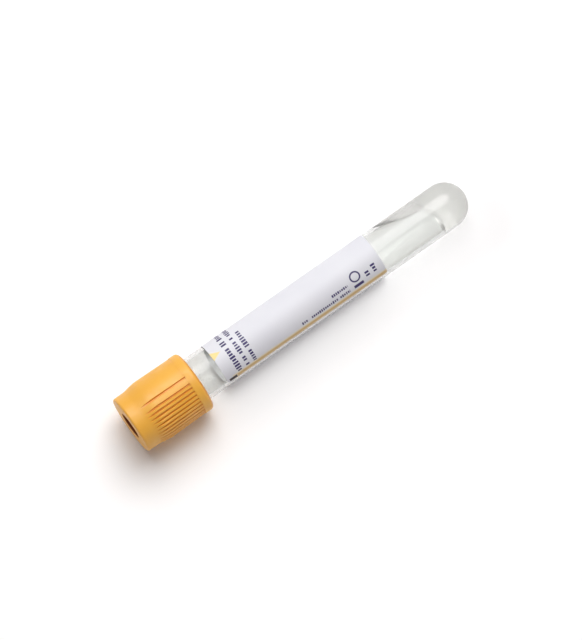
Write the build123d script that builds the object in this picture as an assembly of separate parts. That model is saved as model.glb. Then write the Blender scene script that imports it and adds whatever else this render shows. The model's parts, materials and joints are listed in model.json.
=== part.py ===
"""Evacuated blood collection tube with its push-on safety closure, lying on its side.

Sizes are in millimetres and angles in degrees. Every piece is drawn along +X, with the tube's mouth at x = 0, the
round end at +X and the closure's nose at -X. Angles round the axis run from the front line of the label, positive
towards the label's printed edge. One placement then lays the assembly down as it rests.
"""

from build123d import *
import math
import os

# Tube: nominal 13 x 100, clear moulded plastic with a hemispherical end
tube_length = 100.0
tube_outer_radius = 6.4
tube_wall = 1.0
rim_round = 0.3

# Separator gel, set at a slant in the round end
gel_film = 0.01  # between the gel and the tube's wall
gel_high_reach = 33.6  # from the tip to where its slope meets the wall
gel_slope_reach = 15.6  # from the tip to the foot of the slope
gel_hollow_reach = 9.6  # from the tip to the bottom of the hollow
gel_low_reach = 10.8  # from the tip to the low side's shore
gel_ridge_depth = 2.5  # what the foot of the slope stands in from the wall
gel_shore_offset = 2.4  # from the axis to where the hollow's bottom turns to the shore
gel_foot_round = 9.0
gel_hollow_round = 3.2
gel_shore_round = 5.0
gel_high_angle = -90.0

# Paper label
label_start = 18.6  # from the tube's mouth
label_length = 52.1
label_thickness = 0.1
label_glue = 0.01
label_wrap = 304.0
label_edge_angle = 61.5
label_corner_round = 1.0

# Rubber stopper
stopper_head_overhang = 0.6  # of the head past the tube's outside
stopper_head_length = 5.6
stopper_foot_overhang = 0.2  # of the head's foot, where the bead grips under its shoulder
stopper_foot_length = 1.5
stopper_dish_mouth_radius = 3.0
stopper_dish_floor_radius = 1.9
stopper_dish_depth = 2.6
stopper_dish_round = 0.6
stopper_edge_round = 0.3
septum_thickness = 3.0
plug_length = 8.2
plug_clearance = 0.2  # between the plug's body and the bore
plug_lead = 0.6
plug_bell_radius = 2.8
plug_bell_round = 1.2
seal_clearance = 0.03  # between a sealing ring and the bore
seal_count = 2
seal_width = 1.4
seal_first = 1.9  # from the tube's mouth to the middle of the first sealing ring
seal_pitch = 2.8

# Closure shield: the outside
closure_length = 21.3
nose_step = 0.4  # of the nose's radius below the skirt's
nose_round = 0.6
waist_length = 3.6
waist_round = 6.0
flare_length = 3.4
shoulder_step = 0.18  # of the shoulder's radius above the skirt's
shoulder_round = 9.0
band_step = 0.12  # of the band's radius above the skirt's
band_length = 2.8
band_round = 1.2

# Closure shield: the inside
well_radius = 3.7
well_depth = 3.4
well_mouth_round = 0.35
collar_wall = 1.1
top_wall = 1.5
pocket_clearance = 0.05  # between the stopper's head and its pocket
pocket_round = 0.4
skirt_gap = 1.05  # between the tube and the skirt
skirt_wall = 1.25
skirt_mouth_round = 0.25
bead_clearance = 0.1  # between the bead and the stopper's foot
bead_length = 1.1
bead_ramp = 0.7
small_round = 0.15

# Closure shield: the grip, in zones of grooves with smooth panels between them
grip_zone_count = 2
grip_zone_middle = 39.3  # from the front line
grip_edge_offset = 54.0  # from a zone's middle to its outermost groove
groove_count = 11
groove_pitch = 7.9
groove_floor_width = 0.26
groove_mouth_width = 0.62
groove_crest_width = 0.9
groove_crest_drop = 0.1
groove_floor_lift = 0.03  # of a groove's floor over the nose

# How it lies
front_turn = 11.8  # of the label's front line from straight up
rest_flat_depth = 0.2  # of the flat spot on the closure that keeps it from rolling

# Places that follow
bore_radius = tube_outer_radius - tube_wall
dome_centre = tube_length - tube_outer_radius
tube_axis = Axis.X
nose_x = -(stopper_head_length + well_depth)
shoulder_x = nose_x + waist_length + flare_length
skirt_end_x = nose_x + closure_length
band_x = skirt_end_x - band_length
stopper_head_radius = tube_outer_radius + stopper_head_overhang
stopper_foot_radius = tube_outer_radius + stopper_foot_overhang
skirt_inner_radius = tube_outer_radius + skirt_gap
skirt_radius = skirt_inner_radius + skirt_wall
nose_radius = skirt_radius - nose_step
shoulder_radius = skirt_radius + shoulder_step
band_radius = skirt_radius + band_step


def turned(outline):
    """A solid of revolution from a closed outline whose points are (place along the axis, radius)."""
    return revolve(make_face(outline), tube_axis)


def around(angle):
    """The turn about the axis that carries the straight-up line to an angle from the front line."""
    return Rot(X=angle + front_turn)


def quarter_dome(radius):
    """The arc of a round end from its wall to its tip."""
    reach = radius * math.sqrt(0.5)
    return ThreePointArc((dome_centre, radius), (dome_centre + reach, reach), (dome_centre + radius, 0))


def tube():
    """A wall of one thickness, open at the mouth and closed by a hemisphere."""
    mouth = FilletPolyline(
        (dome_centre, bore_radius),
        (0, bore_radius),
        (0, tube_outer_radius),
        (dome_centre, tube_outer_radius),
        radius=rim_round,
    )
    outer = quarter_dome(tube_outer_radius)
    inner = quarter_dome(bore_radius)
    tip = Line(outer @ 1, inner @ 1)
    return turned(mouth + outer + tip + inner)


def gel():
    """What fills the round end below a slope that runs down to a rounded hollow at the low side."""
    radius = bore_radius - gel_film
    top = tube_length - gel_high_reach - gel_ridge_depth
    dome = quarter_dome(radius)
    fill = turned(
        Polyline((dome_centre, radius), (top, radius), (top, 0), (dome_centre + radius, 0)) + dome
    )
    ridge = radius - gel_ridge_depth
    slope = gel_ridge_depth / (gel_high_reach - gel_slope_reach)
    over = tube_outer_radius + tube_wall
    surface = FilletPolyline(
        (tube_length - gel_high_reach - (over - radius) / slope, over),
        (tube_length - gel_slope_reach, ridge),
        (tube_length - gel_hollow_reach, ridge),
        (tube_length - gel_hollow_reach, -gel_shore_offset),
        (tube_length - gel_low_reach, -over),
        radius=[gel_foot_round, gel_hollow_round, gel_shore_round],
    )
    start, end = surface @ 0, surface @ 1
    air = make_face(surface + Polyline(end, (start.X, end.Y), start))
    air = Rot(X=90) * extrude(air, over, both=True)
    return around(gel_high_angle) * (fill - air)


def label():
    """A sheet wrapped round the tube, which leaves a clear window between its two long edges."""
    inner = tube_outer_radius + label_glue
    strip = Pos(label_start + label_length / 2, inner + label_thickness / 2)
    strip = revolve(strip * Rectangle(label_length, label_thickness), tube_axis, label_wrap)
    corners = strip.edges().filter_by(GeomType.LINE)
    corners = [edge for edge in corners if abs((edge @ 1).X - (edge @ 0).X) < label_thickness / 2]
    strip = fillet(corners, label_corner_round)
    return around(label_edge_angle - label_wrap) * Rot(X=90) * strip


def stopper():
    """A head with a dish for the needle, seated on the tube's rim, and a hollow plug with sealing rings."""
    plug_radius = bore_radius - plug_clearance
    seal_radius = bore_radius - seal_clearance
    top = -stopper_head_length
    dish_floor = top + stopper_dish_depth
    bell_top = dish_floor + septum_thickness
    head = [
        (dish_floor, 0, 0),
        (dish_floor, stopper_dish_floor_radius, stopper_dish_round),
        (top, stopper_dish_mouth_radius, small_round),
        (top, stopper_head_radius, stopper_edge_round),
        (-stopper_foot_length, stopper_head_radius, small_round),
        (-stopper_foot_length, stopper_foot_radius, 0),
        (0, stopper_foot_radius, small_round),
        (0, plug_radius, 0),
    ]
    seals = []
    for number in range(seal_count):
        middle = seal_first + number * seal_pitch
        seals += [
            (middle - seal_width / 2, plug_radius, 0),
            (middle, seal_radius, seal_width / 2),
            (middle + seal_width / 2, plug_radius, 0),
        ]
    plug = [
        (plug_length - plug_lead, plug_radius, 0),
        (plug_length, plug_radius - plug_lead, small_round),
        (plug_length, plug_bell_radius, small_round),
        (bell_top, plug_bell_radius, plug_bell_round),
        (bell_top, 0, 0),
    ]
    return turned(rounded(head + seals + plug))


def rounded(corners):
    """A closed outline from corners of (place, radius, rounding)."""
    return FilletPolyline(
        *[(place, radius) for place, radius, _ in corners],
        radius=[rounding for _, _, rounding in corners],
        close=True,
    )


def shield_blank():
    """The shield before its grip is cut: nose, waist, flare, skirt and band outside, well and skirt inside."""
    pocket_radius = stopper_head_radius + pocket_clearance
    bead_radius = stopper_foot_radius + bead_clearance
    bead_end = -stopper_foot_length + bead_length
    collar_radius = well_radius + collar_wall
    collar_end = nose_x + well_depth
    outside = [
        (nose_x, well_radius, well_mouth_round),
        (nose_x, nose_radius, nose_round),
        (nose_x + waist_length, nose_radius, waist_round),
        (shoulder_x, shoulder_radius, shoulder_round),
        (band_x, skirt_radius, 0),
        (band_x, band_radius, 0),
        (skirt_end_x, band_radius, band_round),
    ]
    inside = [
        (skirt_end_x, skirt_inner_radius, skirt_mouth_round),
        (bead_end + bead_ramp, skirt_inner_radius, 0),
        (bead_end, bead_radius, small_round),
        (-stopper_foot_length, bead_radius, 0),
        (-stopper_foot_length, pocket_radius, 0),
        (nose_x + top_wall, pocket_radius, pocket_round),
        (nose_x + top_wall, collar_radius, small_round),
        (collar_end, collar_radius, small_round),
        (collar_end, well_radius, 0),
    ]
    return turned(rounded(outside + inside))


def groove_angles():
    """Where the grooves lie round the axis: an evenly pitched set with one more past each end of it."""
    half = (groove_count - 1) / 2 * groove_pitch
    inner = [number * groove_pitch - half for number in range(groove_count)]
    zone = [-grip_edge_offset, *inner, grip_edge_offset]
    turns = [number * 360 / grip_zone_count for number in range(grip_zone_count)]
    return [grip_zone_middle + turn + angle for turn in turns for angle in zone]


def groove():
    """The cutter of one groove: a level floor under the flaring wall, so that it runs out towards the nose."""
    floor = nose_radius + groove_floor_lift
    crest = shoulder_radius
    over = crest + 1
    half = [
        (groove_floor_width / 2, floor),
        (groove_mouth_width / 2, crest - groove_crest_drop),
        (groove_crest_width / 2, crest),
        (groove_crest_width, over),
    ]
    profile = Polyline(*half, *[(-across, up) for across, up in reversed(half)], close=True)
    section = Plane((nose_x + nose_round, 0, 0), x_dir=(0, -1, 0), z_dir=(1, 0, 0))
    return extrude(section * make_face(profile), band_x - nose_x - nose_round)


def closure_shield():
    """The moulded cap that covers the stopper and the tube's mouth, with the flat spot that it lies on."""
    cutter = groove()
    shield = shield_blank() - [around(angle) * cutter for angle in groove_angles()]
    return split(shield, bisect_by=Plane(at_rest().inverse()), keep=Keep.TOP)


def floor_slope(place, radius, rounding):
    """The slope of a floor that touches the tube's round end and cuts the flat spot in one edge of the closure."""
    along = dome_centre - place
    out = radius - rounding
    reach = rounding - rest_flat_depth
    lean = math.asin((reach - tube_outer_radius) / math.hypot(along, out))
    return math.atan2(out, along) + lean


def at_rest():
    """The placement that lays the axis down: round end and flat spot on z = 0, box centred over the origin."""
    edges = [
        (nose_x + nose_round, nose_radius, nose_round),
        (shoulder_x, shoulder_radius, 0),
        (skirt_end_x - band_round, band_radius, band_round),
    ]
    slope = max(floor_slope(*edge) for edge in edges)
    lift = tube_outer_radius + dome_centre * math.sin(slope)
    far = dome_centre * math.cos(slope) + tube_outer_radius
    low_edge = nose_radius - nose_round
    near = (nose_x + nose_round) * math.cos(slope) - low_edge * math.sin(slope) - nose_round
    return Pos(-(far + near) / 2, 0, lift) * Rot(Y=math.degrees(slope))


PIECES = {
    "tube": tube,
    "separator_gel": gel,
    "label": label,
    "stopper": stopper,
    "closure_shield": closure_shield,
}


def main():
    """Writes each piece, as it rests, to its own STEP file."""
    os.makedirs("parts", exist_ok=True)
    placement = at_rest()
    for name, make in PIECES.items():
        export_step(placement * make(), f"parts/{name}.step")


main()
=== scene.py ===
"""A blood collection tube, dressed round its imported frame.

The pieces are a clear tube closed by a dome, a hazy separator gel resting in the dome, a printed paper
label, a rubber stopper and the ribbed closure shield that holds it. The label's print is plain shapes.

Lengths are in metres. A place on the tube is along (from its mouth towards the dome), a radius from its
axis, and a turn round the axis in radians, counted from the label's front line towards its printed edge.
"""

import json

import bmesh
import bpy
import numpy as np
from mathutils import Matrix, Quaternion, Vector


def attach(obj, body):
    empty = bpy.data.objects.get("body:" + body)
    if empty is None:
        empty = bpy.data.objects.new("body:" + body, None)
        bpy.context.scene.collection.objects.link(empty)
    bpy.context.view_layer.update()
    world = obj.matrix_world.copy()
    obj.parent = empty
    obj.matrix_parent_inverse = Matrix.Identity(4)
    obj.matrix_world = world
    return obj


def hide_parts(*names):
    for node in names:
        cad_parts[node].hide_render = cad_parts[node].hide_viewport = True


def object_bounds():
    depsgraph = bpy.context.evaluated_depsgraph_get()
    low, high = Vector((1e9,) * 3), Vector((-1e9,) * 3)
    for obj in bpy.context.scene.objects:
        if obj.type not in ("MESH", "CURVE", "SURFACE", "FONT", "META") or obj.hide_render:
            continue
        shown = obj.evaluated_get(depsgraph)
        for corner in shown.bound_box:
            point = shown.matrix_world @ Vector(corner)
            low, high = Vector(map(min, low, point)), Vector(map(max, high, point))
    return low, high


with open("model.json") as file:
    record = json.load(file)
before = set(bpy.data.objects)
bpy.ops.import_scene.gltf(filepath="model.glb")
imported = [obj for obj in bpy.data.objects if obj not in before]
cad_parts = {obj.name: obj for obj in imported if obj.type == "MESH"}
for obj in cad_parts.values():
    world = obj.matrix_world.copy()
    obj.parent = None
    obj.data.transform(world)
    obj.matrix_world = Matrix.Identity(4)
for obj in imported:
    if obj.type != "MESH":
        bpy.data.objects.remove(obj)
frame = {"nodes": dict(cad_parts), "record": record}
cad_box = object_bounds()
nodes = frame["nodes"]
MM = 0.001

# ---------------------------------------------------------------- the tube's own axes, from the frame

rack_fit = next(m for m in frame["record"]["mounts"] if m["name"] == "rack_fit")
axis = np.array(rack_fit["axis"]) / np.linalg.norm(rack_fit["axis"])
up = np.array([0.0, 0.0, 1.0]) - axis[2] * axis
up /= np.linalg.norm(up)
across = np.cross(up, axis)
tube_radius = rack_fit["dims"]["r_mm"] * MM


def measure(node, origin):
    """A CAD node's vertices about the tube's axis through origin: (along, radius, turn from straight up)."""
    mesh = nodes[node].data
    spots = np.empty(len(mesh.vertices) * 3)
    mesh.vertices.foreach_get("co", spots)
    spots = spots.reshape(-1, 3) - origin
    height, side = spots @ up, spots @ across
    return spots @ axis, np.hypot(height, side), np.arctan2(-side, height)


mount_spot = np.array(rack_fit["pos_m"])
tube_along = measure("tube", mount_spot)[0]
mouth = mount_spot + tube_along.min() * axis
tube_length = np.ptp(tube_along)

label_along, label_radius, label_turn = measure("label", mouth)
label_start, label_end = label_along.min(), label_along.max()
label_inside, label_outside = label_radius.min(), label_radius.max()
label_middle = (label_outside + label_inside) / 2
label_turn = np.sort(label_turn)
widest = np.argmax(np.diff(label_turn))
printed_edge, plain_edge = label_turn[widest], label_turn[widest + 1]
label_wrap = 2 * np.pi - (plain_edge - printed_edge)

# ---------------------------------------------------------------- sizes that the frame does not name

EDGE_FROM_FRONT = np.radians(61.5)  # printed edge of the label to its front line
TUBE_WALL = 1.0 * MM
RIM_ROUND = 0.3 * MM
CORNER_ROUND = 1.0 * MM
WELL_RADIUS = 3.7 * MM
# The closure's smooth outside under its grooves, as (along, radius): nose, shoulder, skirt.
SMOOTH_OUTSIDE = np.array([[-5.4, 8.3], [-2.0, 8.88], [9.5, 8.82]]) * MM
# How far the bottom of a groove lies under that outside, where its painted shade starts and where it is
# darkest.
GROOVE_SHADE = np.array([0.06, 0.36]) * MM
GEL_WETTING = 0.015 * MM  # overlap of the gel into the wall, so that no film of air shows
front_turn = printed_edge - EDGE_FROM_FRONT
bore_radius = tube_radius - TUBE_WALL
dome_along = tube_length - tube_radius


def place(along, radius, turn):
    """Points on the tube: the mouth, plus along times the axis, plus radius times the way out at turn."""
    along, radius, turn = np.broadcast_arrays(along, radius, turn)
    angle = (turn + front_turn)[..., None]
    way_out = np.cos(angle) * up - np.sin(angle) * across
    return mouth + along[..., None] * axis + radius[..., None] * way_out


def arc(centre, radius, start, end, steps):
    """(along, radius) points at equal angles from start to end degrees on a circle in the profile plane."""
    angle = np.radians(np.linspace(start, end, steps))
    return np.stack([centre[0] + radius * np.cos(angle), centre[1] + radius * np.sin(angle)], 1)


def line(start, end, steps):
    """Points at equal distances from start to end, without the two ends themselves."""
    share = np.linspace(0.0, 1.0, steps + 2)[1:-1, None]
    return np.array(start) * (1 - share) + np.array(end) * share


def rounded(corners, radii, steps=16):
    """A line through corners, with each inner corner replaced by an arc of its own radius. Each arc starts
    and ends at radius times the tangent of half the turn from its corner."""
    corners = np.array(corners, float)
    run = [corners[:1]]
    for before, corner, after, radius in zip(corners, corners[1:], corners[2:], radii):
        back = (before - corner) / np.linalg.norm(before - corner)
        on = (after - corner) / np.linalg.norm(after - corner)
        half = np.arccos(np.clip(back @ on, -1, 1)) / 2
        middle = back + on
        centre = corner + middle / np.linalg.norm(middle) * radius / np.sin(half)
        share = np.linspace(-1.0, 1.0, steps)[:, None] * (np.pi / 2 - half)
        inward = (corner - centre) / np.linalg.norm(corner - centre)
        sideways = np.array([-inward[1], inward[0]])
        sideways *= np.sign(sideways @ on)
        run.append(centre + radius * (np.cos(share) * inward + np.sin(share) * sideways))
    run.append(corners[-1:])
    return np.concatenate(run)


def spread(points, steps):
    """The same line with its points at equal distances along it."""
    reach = np.r_[0, np.cumsum(np.linalg.norm(np.diff(points, axis=0), axis=1))]
    spots = np.linspace(0, reach[-1], steps)
    return np.stack([np.interp(spots, reach, points[:, k]) for k in range(2)], 1)


# ---------------------------------------------------------------- making meshes


def make_piece(name, grids, weld=1e-7):
    """A closed piece of one or more grids of points, joined where they meet. Each entry of grids is
    (points, uv): points has the shape rows, columns, 3, and uv rows, columns, 2 or None."""
    spots, faces, marks, count = [], [], [], 0
    for points, uv in grids:
        rows, columns = points.shape[:2]
        index = count + np.arange(rows * columns).reshape(rows, columns)
        quads = np.stack([index[:-1, :-1], index[:-1, 1:], index[1:, 1:], index[1:, :-1]], -1)
        spots.append(points.reshape(-1, 3))
        faces.append(quads.reshape(-1, 4))
        marks.append(np.zeros((rows * columns, 2)) if uv is None else uv.reshape(-1, 2))
        count += rows * columns
    spots, faces, marks = np.concatenate(spots), np.concatenate(faces), np.concatenate(marks)
    mesh = bpy.data.meshes.new(name)
    mesh.vertices.add(len(spots))
    mesh.vertices.foreach_set("co", spots.ravel())
    mesh.loops.add(faces.size)
    mesh.loops.foreach_set("vertex_index", faces.ravel())
    mesh.polygons.add(len(faces))
    mesh.polygons.foreach_set("loop_start", np.arange(0, faces.size, 4))
    mesh.update(calc_edges=True)
    layer = mesh.uv_layers.new(name="surface")
    layer.data.foreach_set("uv", marks[faces.ravel()].ravel())
    work = bmesh.new()
    work.from_mesh(mesh)
    bmesh.ops.remove_doubles(work, verts=work.verts, dist=weld)
    bmesh.ops.dissolve_degenerate(work, edges=work.edges, dist=weld)
    bmesh.ops.recalc_face_normals(work, faces=work.faces)
    work.to_mesh(mesh)
    work.free()
    mesh.shade_smooth()
    piece = bpy.data.objects.new(name, mesh)
    bpy.context.collection.objects.link(piece)
    return piece


def dress(piece, material, body=None, stands_for=()):
    """Gives a piece its material, the body it moves with and the CAD nodes it stands for."""
    piece.data.materials.clear()
    piece.data.materials.append(material)
    if body:
        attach(piece, body)
    if stands_for:
        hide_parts(*stands_for)


# ---------------------------------------------------------------- node helpers


class Nodes:
    """Short ways to add nodes to one node tree."""

    def __init__(self, tree):
        self.tree = tree

    def add(self, kind, settings=None, **sockets):
        """A node of that kind. A socket's value is a plain value or another node's output."""
        node = self.tree.nodes.new(kind)
        for key, value in (settings or {}).items():
            setattr(node, key, value)
        for key, value in sockets.items():
            self.feed(node, key.replace("_", " "), value)
        return node

    def feed(self, node, socket, value):
        """Links or sets one input, named or numbered."""
        target = node.inputs[socket]
        if isinstance(value, bpy.types.NodeSocket):
            self.tree.links.new(value, target)
        else:
            target.default_value = value

    def math(self, operation, *values, clamp=False):
        """One Math node's output."""
        node = self.add("ShaderNodeMath", {"operation": operation, "use_clamp": clamp})
        for number, value in enumerate(values):
            self.feed(node, number, value)
        return node.outputs[0]

    def mix(self, share, first, second, blend="MIX"):
        """first turned into second by share, as colours."""
        node = self.add("ShaderNodeMix", {"data_type": "RGBA", "blend_type": blend})
        for number, value in ((0, share), (6, first), (7, second)):
            self.feed(node, number, value)
        return node.outputs[2]

    def ramp(self, value, low, high, to_low=0.0, to_high=1.0):
        """value carried from low..high to to_low..to_high in a smooth step."""
        node = self.add("ShaderNodeMapRange", {"interpolation_type": "SMOOTHSTEP"})
        for number, entry in enumerate((value, low, high, to_low, to_high)):
            self.feed(node, number, entry)
        return node.outputs[0]

    def noise(self, vector, scale, detail=2.0, rough=0.5):
        """A noise value from 0 to 1."""
        node = self.add("ShaderNodeTexNoise", Vector=vector, Scale=scale, Detail=detail, Roughness=rough)
        return node.outputs[0]

    def group(self, tree, **sockets):
        """A placed node group."""
        return self.add("ShaderNodeGroup", {"node_tree": tree}, **sockets)


def rgb(red, green, blue):
    """A colour as it looks on a screen, 0 to 255, turned into the linear values that shaders use."""
    share = np.array([red, green, blue]) / 255
    linear = np.where(share <= 0.04045, share / 12.92, ((share + 0.055) / 1.055) ** 2.4)
    return (*map(float, linear), 1.0)


def new_group(name, inputs, outputs):
    """A node group with named inputs, as (name, kind, value), and named outputs, as (name, kind)."""
    tree = bpy.data.node_groups.new(name, "ShaderNodeTree")
    for label, kind, value in inputs:
        socket = tree.interface.new_socket(label, in_out="INPUT", socket_type="NodeSocket" + kind)
        if value is not None:
            socket.default_value = value
    for label, kind in outputs:
        tree.interface.new_socket(label, in_out="OUTPUT", socket_type="NodeSocket" + kind)
    made = Nodes(tree)
    return tree, made, made.add("NodeGroupInput").outputs, made.add("NodeGroupOutput")


def new_material(name, **sockets):
    """A material of one Principled BSDF, its nodes and that shader."""
    material = bpy.data.materials.new(name)
    material.use_nodes = True
    made = Nodes(material.node_tree)
    shader = next(n for n in material.node_tree.nodes if n.type == "BSDF_PRINCIPLED")
    for key, value in sockets.items():
        made.feed(shader, key.replace("_", " "), value)
    return material, made, shader


# ---------------------------------------------------------------- shared effects


def moulded_skin():
    """The skin of a moulded piece: broad clouds in its colour, a fine grain for its bump, and soft marks
    from handling that change its gloss."""
    tree, made, given, result = new_group(
        "moulded_skin",
        [("Vector", "Vector", None), ("Grain Size", "Float", 0.0003), ("Cloud Size", "Float", 0.006)],
        [("Cloud", "Float"), ("Grain", "Float"), ("Handling", "Float")],
    )
    cloud = made.noise(given["Vector"], made.math("DIVIDE", 1.0, given["Cloud Size"]), 3.0)
    fine = made.math("DIVIDE", 1.0, given["Grain Size"])
    grain = made.noise(given["Vector"], fine, 4.0, 0.6)
    smear = made.noise(given["Vector"], made.math("MULTIPLY", fine, 0.11), 5.0, 0.65)
    made.feed(result, "Cloud", made.ramp(cloud, 0.3, 0.7))
    made.feed(result, "Grain", grain)
    made.feed(result, "Handling", made.ramp(smear, 0.42, 0.68))
    return tree


def ink_block():
    """A rounded rectangle of ink on the label: one inside, nought outside, with a soft edge. Its place is
    the label's own (along, round) in millimetres. The value is how far the point is inside the outline."""
    tree, made, given, result = new_group(
        "ink_block",
        [
            ("Along", "Float", 0.0),
            ("Round", "Float", 0.0),
            ("Along Middle", "Float", 0.0),
            ("Round Middle", "Float", 0.0),
            ("Along Half", "Float", 1.0),
            ("Round Half", "Float", 1.0),
            ("Corner", "Float", 0.15),
            ("Softness", "Float", 0.05),
        ],
        [("Ink", "Float")],
    )
    parts = []
    for name in ("Along", "Round"):
        away = made.math("ABSOLUTE", made.math("SUBTRACT", given[name], given[name + " Middle"]))
        inner = made.math("SUBTRACT", given[name + " Half"], given["Corner"])
        over = made.math("MAXIMUM", made.math("SUBTRACT", away, inner), 0.0)
        parts.append(made.math("MULTIPLY", over, over))
    reach = made.math("SUBTRACT", made.math("SQRT", made.math("ADD", *parts)), given["Corner"])
    ink = made.math("DIVIDE", reach, given["Softness"])
    made.feed(result, "Ink", made.math("SUBTRACT", 0.5, ink, clamp=True))
    return tree


def ink_row():
    """A row of short strokes standing for a line of small print: equal cells run along the row from its
    start to its end, and each cell has a stroke of its own width and height, or none."""
    tree, made, given, result = new_group(
        "ink_row",
        [
            ("Run", "Float", 0.0),
            ("Away", "Float", 0.0),
            ("Start", "Float", 0.0),
            ("End", "Float", 1.0),
            ("Half Height", "Float", 0.6),
            ("Pitch", "Float", 0.5),
            ("Seed", "Float", 0.0),
        ],
        [("Ink", "Float")],
    )
    cells = made.math("DIVIDE", made.math("SUBTRACT", given["Run"], given["Start"]), given["Pitch"])
    number = made.math("ADD", made.math("FLOOR", cells), made.math("MULTIPLY", given["Seed"], 61.7))
    noise = made.add("ShaderNodeTexWhiteNoise", {"noise_dimensions": "1D"}, W=number)
    chance = made.add("ShaderNodeSeparateXYZ", Vector=noise.outputs["Color"]).outputs
    inside = made.math("ABSOLUTE", made.math("SUBTRACT", made.math("FRACT", cells), 0.5))
    width = made.math("ADD", 0.31, made.math("MULTIPLY", chance[0], 0.13))
    across_ink = made.math("MULTIPLY", made.math("SUBTRACT", width, inside), given["Pitch"])
    across_ink = made.math("DIVIDE", across_ink, 0.08, clamp=True)
    tall = made.math("ADD", 0.76, made.math("MULTIPLY", made.math("GREATER_THAN", chance[1], 0.55), 0.24))
    height = made.math("MULTIPLY", given["Half Height"], tall)
    away = made.math("SUBTRACT", height, made.math("ABSOLUTE", given["Away"]))
    along_ink = made.math("DIVIDE", away, 0.1, clamp=True)
    there = made.math("GREATER_THAN", chance[2], 0.12)
    begun = made.math("GREATER_THAN", given["Run"], given["Start"])
    going = made.math("LESS_THAN", given["Run"], given["End"])
    ink = made.math("MULTIPLY", across_ink, along_ink)
    for gate in (there, begun, going):
        ink = made.math("MULTIPLY", ink, gate)
    made.feed(result, "Ink", ink)
    return tree


skin_group = moulded_skin()
ink_group = ink_block()
row_group = ink_row()


def skin(made, grain_size, cloud_size):
    """The shared skin on Object coordinates, with sizes in metres."""
    spots = made.add("ShaderNodeTexCoord").outputs["Object"]
    return made.group(skin_group, Vector=spots, Grain_Size=grain_size, Cloud_Size=cloud_size).outputs, spots


def bump(made, shader, height, distance):
    """Raises the surface by height times distance."""
    node = made.add("ShaderNodeBump", Height=height, Distance=distance, Strength=1.0)
    made.feed(shader, "Normal", node.outputs["Normal"])


def along_and_radius(made, spots):
    """A point's place along the tube's axis from the mouth, by a dot product, and its distance from the
    axis, by the length of a cross product."""
    arm = made.add("ShaderNodeVectorMath", {"operation": "SUBTRACT"})
    made.feed(arm, 0, spots)
    made.feed(arm, 1, tuple(map(float, mouth)))
    found = []
    for operation in ("DOT_PRODUCT", "CROSS_PRODUCT"):
        node = made.add("ShaderNodeVectorMath", {"operation": operation})
        made.feed(node, 0, arm.outputs[0])
        made.feed(node, 1, tuple(map(float, axis)))
        found.append(node)
    size = made.add("ShaderNodeVectorMath", {"operation": "LENGTH"})
    made.feed(size, 0, found[1].outputs[0])
    return found[0].outputs["Value"], size.outputs["Value"]


def level_between(made, value, low, high, to_low, to_high):
    """value carried from low..high to to_low..to_high in a straight line, and held past both ends."""
    node = made.add("ShaderNodeMapRange", {"clamp": True})
    for number, entry in enumerate((value, low, high, to_low, to_high)):
        made.feed(node, number, float(entry) if number else entry)
    return node.outputs[0]


# ---------------------------------------------------------------- finishes


def closure_plastic():
    """Satin amber-orange polyethylene, with painted shade low in the grooves and a painted dark shade inside
    the hole in its nose. A point's depth in a groove is how far it lies under the smooth outside at its place
    along the axis."""
    material, made, shader = new_material("closure_plastic", Roughness=0.46, IOR=1.51)
    shader.inputs["Specular IOR Level"].default_value = 0.6
    out, spots = skin(made, 0.00022, 0.009)
    colour = made.mix(out["Cloud"], rgb(243, 181, 66), rgb(238, 173, 56))
    along, reach = along_and_radius(made, spots)
    nose, shoulder, skirt = SMOOTH_OUTSIDE
    rise = level_between(made, along, nose[0], shoulder[0], nose[1], shoulder[1])
    fall = level_between(made, along, shoulder[0], skirt[0], 0.0, skirt[1] - shoulder[1])
    depth = made.math("SUBTRACT", made.math("ADD", rise, fall), reach)
    low = made.ramp(depth, *map(float, GROOVE_SHADE))
    # Only the outside has grooves: not the inside, whose points lie nearer the axis, nor the nose's face.
    low = made.math("MULTIPLY", low, made.ramp(reach, nose[1] - 0.3 * MM, nose[1] - 0.1 * MM))
    low = made.math("MULTIPLY", low, made.ramp(along, nose[0], nose[0] + 1.2 * MM))
    # Painted shade: the colour is darkened low in the grooves, where the ribs shade them.
    colour = made.mix(made.math("MULTIPLY", low, 0.5), colour, rgb(204, 106, 12))
    # Painted shade: the wall of the hole in the nose is coloured dark red-brown, deepest inside it; its
    # roughness is raised there too.
    well_shade = made.ramp(reach, WELL_RADIUS - 0.1 * MM, WELL_RADIUS + 0.35 * MM, 1.0, 0.0)
    colour = made.mix(well_shade, colour, rgb(122, 14, 0))
    made.feed(shader, "Base Color", colour)
    rough = made.ramp(out["Handling"], 0.0, 1.0, 0.4, 0.54)
    made.feed(shader, "Roughness", made.math("ADD", rough, made.math("MULTIPLY", well_shade, 0.4)))
    bump(made, shader, out["Grain"], 0.000012)
    return material


def stopper_rubber():
    """Matte red-brown rubber with a dusty bloom."""
    material, made, shader = new_material("stopper_rubber", Roughness=0.7, IOR=1.5)
    shader.inputs["Specular IOR Level"].default_value = 0.2
    out, _ = skin(made, 0.00016, 0.0022)
    colour = made.mix(out["Cloud"], rgb(108, 30, 10), rgb(84, 20, 6))
    colour = made.mix(made.math("MULTIPLY", out["Handling"], 0.14), colour, rgb(146, 82, 60))
    made.feed(shader, "Base Color", colour)
    made.feed(shader, "Roughness", made.ramp(out["Handling"], 0.0, 1.0, 0.62, 0.82))
    bump(made, shader, out["Grain"], 0.00003)
    return material


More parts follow.
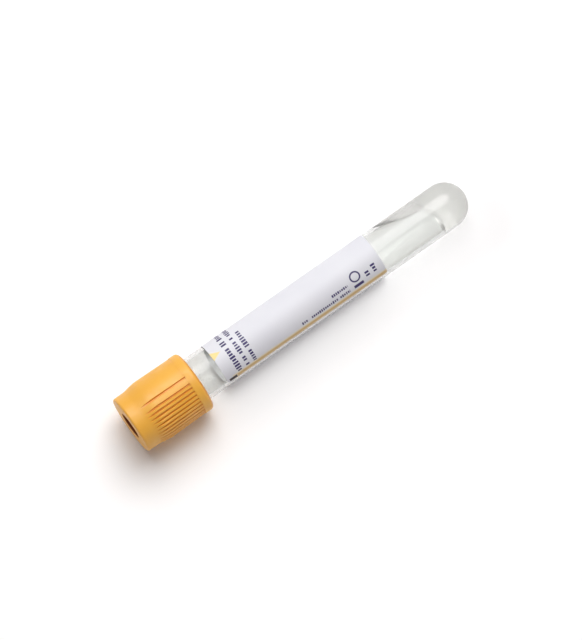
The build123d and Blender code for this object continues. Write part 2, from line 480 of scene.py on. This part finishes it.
def lamps_pass(material, made, shader, share):
    """Lets that share of the lamps' light through at each surface it meets, so that a clear piece casts a
    light shadow. The share is a number or a value on the surface."""
    clear = made.add("ShaderNodeBsdfTransparent")
    path = made.add("ShaderNodeLightPath")
    mixer = made.add("ShaderNodeMixShader")
    made.feed(mixer, 0, made.math("MULTIPLY", path.outputs["Is Shadow Ray"], share))
    made.feed(mixer, 1, shader.outputs[0])
    made.feed(mixer, 2, clear.outputs[0])
    output = next(n for n in material.node_tree.nodes if n.type == "OUTPUT_MATERIAL")
    made.feed(output, "Surface", mixer.outputs[0])


def clear_plastic():
    """Clear polyester, very slightly grey, with a faint unevenness from blowing. A coat on the rim mirrors
    the light that the wall carries to its end, where the rays that look into the wall are lost."""
    material, made, shader = new_material(
        "clear_plastic", Transmission_Weight=1.0, IOR=1.5, Roughness=0.02
    )
    shader.inputs["Specular Tint"].default_value = (0.45, 0.45, 0.45, 1)
    shader.inputs["Coat IOR"].default_value = 4.0
    shader.inputs["Coat Roughness"].default_value = 0.3
    out, spots = skin(made, 0.006, 0.02)
    along = along_and_radius(made, spots)[0]
    made.feed(shader, "Coat Weight", made.ramp(along, RIM_ROUND, 3 * RIM_ROUND, 1.0, 0.0))
    thick = made.add("ShaderNodeLayerWeight", Blend=0.3).outputs["Facing"]
    colour = made.mix(out["Cloud"], (0.835, 0.84, 0.828, 1), (0.82, 0.826, 0.813, 1))
    made.feed(shader, "Base Color", made.mix(thick, colour, (0.66, 0.67, 0.65, 1)))
    made.feed(shader, "Roughness", made.ramp(out["Handling"], 0.0, 1.0, 0.015, 0.05))
    bump(made, shader, out["Grain"], 0.000004)
    lamps_pass(material, made, shader, 0.9)
    return material


def gel_jelly():
    """Hazy, faintly pink-grey separator gel with a soft unevenness inside."""
    material, made, shader = new_material(
        "separator_gel", Transmission_Weight=0.93, IOR=1.41, Roughness=0.16
    )
    shader.inputs["Specular Tint"].default_value = (0.3, 0.3, 0.3, 1)
    out, _ = skin(made, 0.0009, 0.004)
    made.feed(shader, "Base Color", made.mix(out["Cloud"], (0.98, 0.965, 0.96, 1), (0.95, 0.935, 0.93, 1)))
    made.feed(shader, "Roughness", made.ramp(out["Cloud"], 0.0, 1.0, 0.12, 0.2))
    bump(made, shader, out["Grain"], 0.00003)
    lamps_pass(material, made, shader, 0.9)
    return material


# The label's rows of print, in millimetres on the label. Those round the tube have (along middle,
# round start, round end, half height, pitch), and those along it (round middle, along start, along end,
# half height, pitch).
ROWS_ROUND = [
    (4.5, -14.0, 5.2, 0.85, 0.84),
    (7.1, -12.0, 5.2, 0.75, 0.78),
    (9.45, -4.9, 5.2, 0.75, 0.8),
    (47.0, 1.2, 4.0, 0.85, 0.9),
    (49.3, 1.3, 4.0, 0.7, 0.9),
]
ROWS_ALONG = [(4.43, 25.0, 40.7, 0.5, 0.62), (2.75, 35.5, 40.7, 0.45, 0.62)]

# Its blocks, as (along middle, round middle, along half, round half, corner, softness). The first three
# have their round middle counted from the label's printed edge.
STRIPE = (27.6, -0.8, 24.2, 0.5, 0.2, 0.5)
CREAM = (28.0, -0.65, 26.0, 1.05, 0.2, 0.5)
DASH = (1.95, -0.75, 1.2, 0.55, 0.1, 0.15)
BAR = (43.65, 4.4, 1.5, 0.45, 0.12, 0.12)
# Its triangle narrows from its base on the label's end: half the base, what that loses for each
# millimetre along, its round middle and its softness.
TRIANGLE = (1.42, 0.47, -2.55, 0.3)
# Its ring: along middle, round middle, radius, half its line and its softness.
RING = (43.65, 1.75, 1.35, 0.27, 0.12)
LIGHT_IN, LIGHT_OUT = 0.87, 0.1  # shares of the lamps' light through the label, into the tube and out of it


def label_paper():
    """Coated white paper with a lavender tint, printed with a gold stripe, a dash, a pale triangle and
    plain navy blocks. Its inner face is plain white. The lamps' light enters the label through its
    outer face more easily than it comes out, so that the label is light inside and still shades the floor."""
    material, made, shader = new_material("label_paper", Roughness=0.5, IOR=1.45)
    out, spots = skin(made, 0.00012, 0.012)
    uv = made.add("ShaderNodeUVMap", {"uv_map": "surface"})
    split = made.add("ShaderNodeSeparateXYZ", Vector=uv.outputs[0])
    along, around = split.outputs[0], split.outputs[1]

    def block(sizes, edge=0.0):
        """The ink of one block, with its round middle counted from edge."""
        names = ("Along_Middle", "Round_Middle", "Along_Half", "Round_Half", "Corner", "Softness")
        sockets = dict(zip(names, sizes))
        sockets["Round_Middle"] += edge
        return made.group(ink_group, Along=along, Round=around, **sockets).outputs[0]

    paper = made.mix(out["Cloud"], rgb(229, 230, 236), rgb(225, 226, 233))
    edge = EDGE_FROM_FRONT * label_outside / MM
    stripe, cream, dash = (block(sizes, edge) for sizes in (STRIPE, CREAM, DASH))
    half_base, loss, middle, softness = TRIANGLE
    half = made.math("SUBTRACT", half_base, made.math("MULTIPLY", along, loss))
    away = made.math("ABSOLUTE", made.math("SUBTRACT", around, middle))
    triangle = made.math("DIVIDE", made.math("SUBTRACT", half, away), softness, clamp=True)
    *middle, radius, half, softness = RING
    reach = made.add("ShaderNodeVectorMath", {"operation": "DISTANCE"})
    made.feed(reach, 0, uv.outputs[0])
    made.feed(reach, 1, (*middle, 0.0))
    away = made.math("ABSOLUTE", made.math("SUBTRACT", reach.outputs["Value"], radius))
    ring = made.math("DIVIDE", made.math("SUBTRACT", half, away), softness, clamp=True)
    navy = made.math("MAXIMUM", ring, block(BAR))
    for seed, (middle, start, end, half, pitch) in enumerate(ROWS_ROUND + ROWS_ALONG):
        run, off = (around, along) if seed < len(ROWS_ROUND) else (along, around)
        sockets = {"Start": start, "End": end, "Half_Height": half, "Pitch": pitch, "Seed": float(seed + 1)}
        away = made.math("SUBTRACT", off, middle)
        navy = made.math("MAXIMUM", navy, made.group(row_group, Run=run, Away=away, **sockets).outputs[0])
    colour = made.mix(triangle, paper, rgb(250, 226, 152))
    colour = made.mix(cream, colour, rgb(240, 224, 192))
    colour = made.mix(stripe, colour, rgb(214, 178, 112))
    colour = made.mix(dash, colour, rgb(48, 34, 40))
    patchy = made.ramp(out["Grain"], 0.2, 0.5, 0.86, 1.0)
    colour = made.mix(made.math("MULTIPLY", navy, patchy), colour, rgb(40, 26, 92))
    inner = made.math("LESS_THAN", along_and_radius(made, spots)[1], float(label_middle))
    colour = made.mix(inner, colour, rgb(250, 250, 252))
    made.feed(shader, "Base Color", colour)
    inked = made.math("MAXIMUM", navy, stripe)
    made.feed(shader, "Roughness", made.math("SUBTRACT", 0.52, made.math("MULTIPLY", inked, 0.12)))
    bump(made, shader, out["Grain"], 0.000008)
    back = made.add("ShaderNodeNewGeometry").outputs["Backfacing"]
    leaving = made.math("MULTIPLY", made.math("SUBTRACT", 1.0, back), made.math("SUBTRACT", 1.0, inner))
    kept = made.math("MULTIPLY", leaving, LIGHT_IN - LIGHT_OUT)
    lamps_pass(material, made, shader, made.math("SUBTRACT", LIGHT_IN, kept))
    return material


def activator_white():
    """Dried clot-activator spray: chalky, half-clear white."""
    material, made, shader = new_material("activator_spray", Roughness=0.6, IOR=1.45)
    out, _ = skin(made, 0.00008, 0.0006)
    made.feed(shader, "Base Color", made.mix(out["Cloud"], rgb(238, 238, 234), rgb(214, 216, 214)))
    made.feed(shader, "Alpha", made.ramp(out["Grain"], 0.2, 0.8, 0.35, 0.75))
    return material


# ---------------------------------------------------------------- the tube

around_steps = np.linspace(0, 2 * np.pi, 193)
rim = RIM_ROUND
profile = np.concatenate(
    [
        arc((dome_along, 0.0), bore_radius, 0, 90, 49),
        line((dome_along, bore_radius), (rim, bore_radius), 30),
        arc((rim, bore_radius + rim), rim, 270, 180, 9),
        arc((rim, tube_radius - rim), rim, 180, 90, 9),
        line((rim, tube_radius), (dome_along, tube_radius), 30),
        arc((dome_along, 0.0), tube_radius, 90, 0, 49),
    ]
)
tube_points = place(profile[:, None, 0], profile[:, None, 1], around_steps[None])
tube = make_piece("tube_clear", [(tube_points, None)])
dress(tube, clear_plastic(), "tube_body", ["tube"])

# ---------------------------------------------------------------- the separator gel

# Its free surface seen from the side, in millimetres as (along, height towards the high side): a slope
# down from the wall, a rounded hollow, its bottom and a low shore that runs back to the wall.
GEL_CORNERS = [(66.4, 7.4), (84.4, 2.89), (90.4, 2.89), (90.4, -2.4), (89.2, -7.4)]
GEL_LINE = rounded(GEL_CORNERS, [9.0, 4.6, 5.0])
GEL_HIGH_TURN = np.radians(-90)
gel_radius = bore_radius + GEL_WETTING


def gel_grids():
    """The gel's free surface and the wall it wets. The surface is ruled: at each point of the side line
    it runs straight across from wall to wall. The wall's grids run along the meridian from that point's
    end to the dome's tip, at equal steps of its length."""
    side_line = spread(GEL_LINE * MM, 4000)
    side_line = side_line[np.abs(side_line[:, 1]) < gel_radius]
    side_line = spread(side_line, 120)
    side_line[0, 1], side_line[-1, 1] = gel_radius, -gel_radius
    along, height = side_line[:, 0], side_line[:, 1]
    half = np.sqrt(np.maximum(gel_radius**2 - height**2, 0.0))
    width = np.sin(np.linspace(-np.pi / 2, np.pi / 2, 61))
    flat = np.arctan2(half[:, None] * width, height[:, None])
    radius = np.hypot(half[:, None] * width, height[:, None])
    grids = [(place(along[:, None], radius, GEL_HIGH_TURN + flat), None)]
    reach = gel_radius * np.pi / 2
    for hand in (-1, 1):
        turn = hand * np.arctan2(half, height)
        start = along - dome_along
        run = start[:, None] + (reach - start[:, None]) * np.linspace(0, 1, 70)
        bend = np.clip(run, 0, None) / gel_radius
        wall_along = dome_along + np.where(run < 0, run, gel_radius * np.sin(bend))
        wall_radius = gel_radius * np.cos(bend)
        grids.append((place(wall_along, wall_radius, GEL_HIGH_TURN + turn[:, None]), None))
    return grids


gel = make_piece("separator_gel_body", gel_grids(), 2e-6)
dress(gel, gel_jelly(), "tube_body", ["separator_gel"])

# ---------------------------------------------------------------- the label

def label_grids():
    """The label's outer and inner faces and its thin edges. Near each end the two long edges draw in on a
    circle, which rounds the corners: at a distance from the end, they are in by the corner's radius less
    the height of that circle there."""
    length = label_end - label_start
    end = CORNER_ROUND * (1 - np.cos(np.linspace(0, np.pi / 2, 9)))
    straight = np.linspace(CORNER_ROUND, length - CORNER_ROUND, 60)[1:-1]
    along = np.concatenate([end, straight, length - end[::-1]])
    near = np.clip(CORNER_ROUND - np.minimum(along, length - along), 0, None)
    drawn_in = (CORNER_ROUND - np.sqrt(np.maximum(CORNER_ROUND**2 - near**2, 0))) / label_outside
    share = np.linspace(0, 1, 181)
    first = EDGE_FROM_FRONT - label_wrap + drawn_in
    last = EDGE_FROM_FRONT - drawn_in
    turn = first[:, None] * (1 - share) + last[:, None] * share
    uv = np.stack([np.broadcast_to(along[:, None] / MM, turn.shape), turn * label_outside / MM], -1)
    turn = np.concatenate([turn, turn[:, -1:], turn[:, ::-1], turn[:, :1], turn[:, :1]], 1)
    outside, inside = np.full(share.size, label_outside), np.full(share.size, label_inside)
    radius = np.r_[outside, label_middle, inside, label_middle, label_outside]
    uv = np.concatenate([uv, uv[:, -1:], uv[:, ::-1], uv[:, :1], uv[:, :1]], 1)
    points = place((label_start + along)[:, None], radius, turn)
    caps = place((label_start + along[[0, -1]])[:, None], label_middle, turn[[0, -1]])
    points = np.concatenate([caps[:1], points, caps[1:]])
    uv = np.concatenate([uv[:1], uv, uv[-1:]])
    return [(points, uv)]


label = make_piece("label_sheet", label_grids())
dress(label, label_paper(), "tube_body", ["label"])

# ---------------------------------------------------------------- dried clot activator inside the mouth


def activator_grids(count=90, rim_points=12):
    """Specks on the bore, each a flat lens: a ring with an uneven outline, drawn in to a point just off
    the wall on one side and just inside it on the other."""
    rng = np.random.default_rng(7)
    along = 13.0 * MM + 22.0 * MM * rng.random(count) ** 1.6
    turn = rng.uniform(0, 2 * np.pi, count)
    size = rng.uniform(0.07, 0.2, count) * MM
    angle = np.linspace(0, 2 * np.pi, rim_points + 1)
    uneven = 1 + 0.22 * rng.standard_normal((count, rim_points)).clip(-1.5, 1.5)
    uneven = np.concatenate([uneven, uneven[:, :1]], 1)
    rings = []
    for share, radius in ((0.0, -0.022), (0.7, -0.015), (1.0, 0.0), (0.0, 0.008)):
        reach = share * size[:, None] * uneven
        rings.append(
            place(
                along[:, None] + reach * np.cos(angle),
                bore_radius + radius * MM,
                turn[:, None] + reach * np.sin(angle) / bore_radius,
            )
        )
    specks = np.stack(rings, 1)
    return [(speck, None) for speck in specks]


specks = make_piece("activator_specks", activator_grids())
dress(specks, activator_white(), "tube_body")

# ---------------------------------------------------------------- the closure and its stopper

dress(nodes["closure_shield"], closure_plastic())
dress(nodes["stopper"], stopper_rubber())

# ---------------------------------------------------------------- floor, backdrop, lamps and camera


def seen_as_white(made):
    """One for what the camera sees straight, mirrored or through a clear piece, and nought for light."""
    path = made.add("ShaderNodeLightPath").outputs
    seen = made.math("ADD", path["Is Camera Ray"], path["Is Glossy Ray"])
    return made.math("ADD", seen, path["Is Transmission Ray"], clamp=True)


# The floor's own light for the eye: beside the tube, where it shades the floor, past there, and far away.
FLOOR_LIFT = (0.02, 0.16, 1.0)
LIFT_NEAR, LIFT_FAR = (3 * MM, 20 * MM), (0.15, 0.9)  # distances over which it grows from one to the next
SHADED_LINE = 9 * MM  # from the tube's axis to the line beside it that those distances are counted from


def floor_paint():
    """Pale matt floor that looks white where nothing shades it, and is lifted to white away from the tube by
    painted light: the lift grows with the distance from a line beside the tube, on the side away from the
    lamp, so that a painted deeper shade stays where the tube's shadow falls."""
    material, made, shader = new_material("studio_floor", Roughness=0.8, IOR=1.3)
    shader.inputs["Base Color"].default_value = (0.95, 0.95, 0.955, 1)
    shader.inputs["Emission Color"].default_value = (1, 1, 1, 1)
    spots = made.add("ShaderNodeTexCoord").outputs["Object"]
    split = made.add("ShaderNodeSeparateXYZ", Vector=spots).outputs
    half_length = float(cad_box[1][0])
    beside = made.math("ADD", split[1], SHADED_LINE)
    past = made.math("MAXIMUM", made.math("SUBTRACT", made.math("ABSOLUTE", split[0]), half_length), 0.0)
    squares = made.math("ADD", made.math("MULTIPLY", past, past), made.math("MULTIPLY", beside, beside))
    distance = made.math("SQRT", squares)
    near, past_there, far = FLOOR_LIFT
    # Painted shade: the lift stays low beside the tube on its shadow side.
    lift = made.ramp(distance, *LIFT_NEAR, near, past_there)
    lift = made.math("ADD", lift, made.ramp(distance, *LIFT_FAR, 0.0, far - past_there))
    made.feed(shader, "Emission Strength", made.math("MULTIPLY", seen_as_white(made), lift))
    return material


FLOOR_HALF, FLOOR_LEVEL = 2.0, -0.01 * MM
corners = [(x * FLOOR_HALF, y * FLOOR_HALF, FLOOR_LEVEL) for x, y in ((-1, -1), (1, -1), (1, 1), (-1, 1))]
ground = bpy.data.meshes.new("studio_floor")
ground.from_pydata(corners, [], [(0, 1, 2, 3)])
floor = bpy.data.objects.new("studio_floor", ground)
bpy.context.collection.objects.link(floor)
floor.data.materials.append(floor_paint())

SKY_COLOUR, SKY_LIGHT = (1, 0.91, 0.885, 1), 0.235  # a faintly warm fill
world = bpy.data.worlds.new("studio")
bpy.context.scene.world = world
world.use_nodes = True
world.node_tree.nodes.clear()
sky = Nodes(world.node_tree)
dim = sky.add("ShaderNodeBackground", Color=SKY_COLOUR, Strength=SKY_LIGHT)
white = sky.add("ShaderNodeBackground", Color=(1, 1, 1, 1), Strength=1.0)
both = sky.add("ShaderNodeMixShader")
for number, value in enumerate((seen_as_white(sky), dim.outputs[0], white.outputs[0])):
    sky.feed(both, number, value)
sky.add("ShaderNodeOutputWorld", Surface=both.outputs[0])


def lamp(name, way, distance, size, watts, target=(-0.003, -0.002, 0.008)):
    """A soft square lamp, distance from target along way, facing it. It dims towards its edges: each of
    its two directions gives a smooth step from the edge to near the middle, and the light is their
    product."""
    data = bpy.data.lights.new(name, "AREA")
    data.size, data.energy = size, watts
    data.use_nodes = True
    made = Nodes(data.node_tree)
    split = made.add("ShaderNodeSeparateXYZ", Vector=made.add("ShaderNodeNewGeometry").outputs["Parametric"])
    steps = [
        made.ramp(made.math("ABSOLUTE", made.math("SUBTRACT", split.outputs[k], 0.5)), 0.15, 0.5, 1.0, 0.0)
        for k in range(2)
    ]
    emitter = next(n for n in data.node_tree.nodes if n.type == "EMISSION")
    made.feed(emitter, "Strength", made.math("MULTIPLY", *steps))
    item = bpy.data.objects.new(name, data)
    way = np.array(way, float) / np.linalg.norm(way)
    item.location = np.array(target) + way * distance
    item.visible_camera = False
    item.rotation_euler = Vector(way).to_track_quat("Z", "Y").to_euler()
    bpy.context.collection.objects.link(item)


lamp("key_lamp", (0.268, 0.34, 0.9), 1.1, 1.35, 29.5)

CAMERA_AZIMUTH, CAMERA_ELEVATION, CAMERA_ROLL = np.radians([-24.1322, 77.1721, -11.6922])
CAMERA_TARGET = np.array([-0.0030469, -0.0015266, 0.008])
CAMERA_DISTANCE, CAMERA_LENS = 3.0, 697.72
level = np.cos(CAMERA_ELEVATION)
towards = np.array(
    [np.sin(CAMERA_AZIMUTH) * level, -np.cos(CAMERA_AZIMUTH) * level, np.sin(CAMERA_ELEVATION)]
)
camera_data = bpy.data.cameras.new("camera")
camera_data.sensor_fit = "HORIZONTAL"
camera_data.sensor_width = 36.0
camera_data.lens = CAMERA_LENS
camera_data.clip_start, camera_data.clip_end = 0.02, 20.0
camera = bpy.data.objects.new("camera", camera_data)
camera.location = CAMERA_TARGET + towards * CAMERA_DISTANCE
turned = Vector(towards).to_track_quat("Z", "Y") @ Quaternion((0, 0, 1), CAMERA_ROLL)
camera.rotation_euler = turned.to_euler()
bpy.context.collection.objects.link(camera)
bpy.context.scene.camera = camera
bpy.context.scene.view_settings.view_transform = "Standard"
